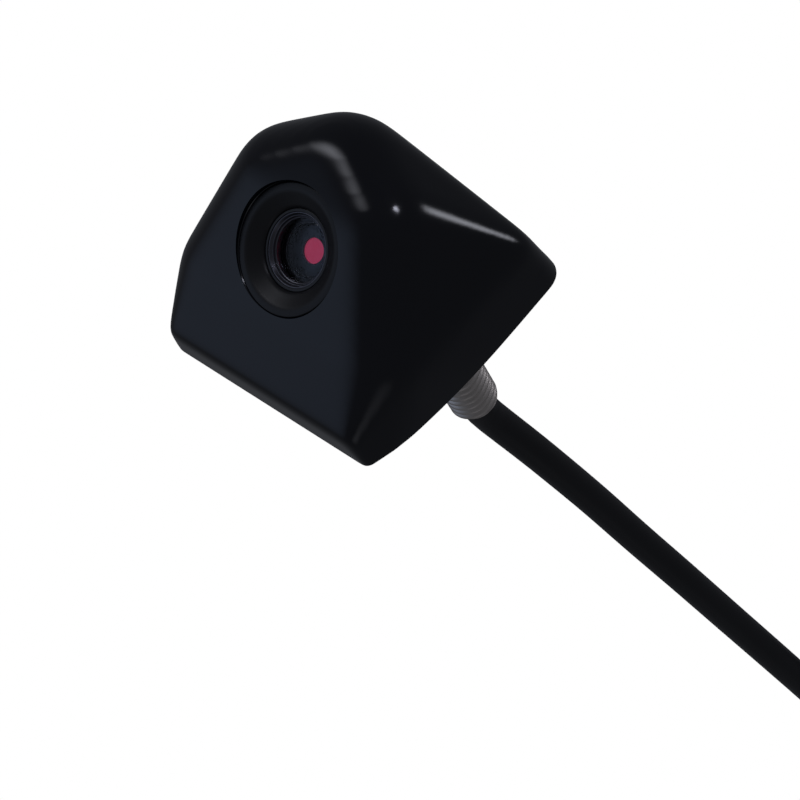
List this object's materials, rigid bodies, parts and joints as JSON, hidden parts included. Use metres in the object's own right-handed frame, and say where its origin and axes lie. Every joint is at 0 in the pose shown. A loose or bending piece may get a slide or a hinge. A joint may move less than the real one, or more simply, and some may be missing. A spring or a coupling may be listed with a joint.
{
  "type": "backup camera",
  "caption": "Wedge-shaped surface-mount backup camera with a recessed lens, a threaded hollow stud and a coiled pigtail with a waterproof plug.",
  "frame": {"origin": "the stud's axis at the mounting face, where the pad meets the panel", "axes": "+Z away from the panel, the lens looks out towards -Y and up, +X to the right seen from the front"},
  "size_m": [0.0983, 0.0997, 0.3011],
  "materials": {
    "gloss_black_body": "gloss black paint on a zinc die casting",
    "matt_black_insert": "fine matt black",
    "black_rubber": "soft black rubber",
    "anodised_black": "black anodised",
    "lens_ring_grey": "turned, dark grey",
    "lens_glass": "coated optical glass",
    "red_filter": "red coated filter",
    "black_plastic": "moulded black",
    "steel_fixings": "bright stainless",
    "sensor_grey": "glass-topped package",
    "green_board": "solder mask",
    "cream_plastic": "moulded cream",
    "brass_pillars": "turned brass",
    "red_wire": "insulated wires",
    "aluminium_plate": "die cast, plain",
    "nickel_stud": "nickel plated thread",
    "cable_jacket": "satin black jacket",
    "gold_pins": "gold plated",
    "red_rubber": "silicone"
  },
  "bodies": {
    "camera": {"housing": "gloss_black_body", "lens_insert": "matt_black_insert", "insert_seal": "black_rubber", "lens_barrel": "anodised_black", "lens_ring": "lens_ring_grey", "front_lens": "lens_glass", "lens_spacer": "anodised_black", "second_lens": "lens_glass", "aperture_stop": "anodised_black", "ir_filter": "red_filter", "rear_lens": "lens_glass", "lens_holder": "black_plastic", "holder_screws": "steel_fixings", "image_sensor": "sensor_grey", "sensor_board": "green_board", "board_screws": "steel_fixings", "board_connector": "cream_plastic", "power_board": "green_board", "board_pillars": "brass_pillars", "pillar_screws": "steel_fixings", "wire_socket": "cream_plastic", "conductors": "red_wire", "base_gasket": "black_rubber", "base_plate": "aluminium_plate", "base_screws": "steel_fixings", "mounting_pad": "black_rubber", "threaded_stud": "nickel_stud", "stud_seal": "black_rubber", "cable": "cable_jacket", "cable_coil": "cable_jacket", "cable_tie": "black_plastic", "cable_tail": "cable_jacket", "plug_boot": "black_rubber", "plug_body": "black_plastic", "plug_insert": "cream_plastic", "plug_pins": "gold_pins", "plug_seal": "red_rubber"},
    "washers": {"flat_washer": "steel_fixings", "spring_washer": "steel_fixings"},
    "nut": {"hex_nut": "steel_fixings"}
  },
  "joints": [
    {"name": "washer_slide", "type": "slide", "parent": "camera", "child": "washers", "axis": [0, 0, 1], "range_m": [0, 0.022]},
    {"name": "nut_spin", "type": "hinge", "parent": "washers", "child": "nut", "pos_m": [0.0665, 0.01, -0.2251], "axis": [0, 0, 1], "continuous": true}
  ]
}
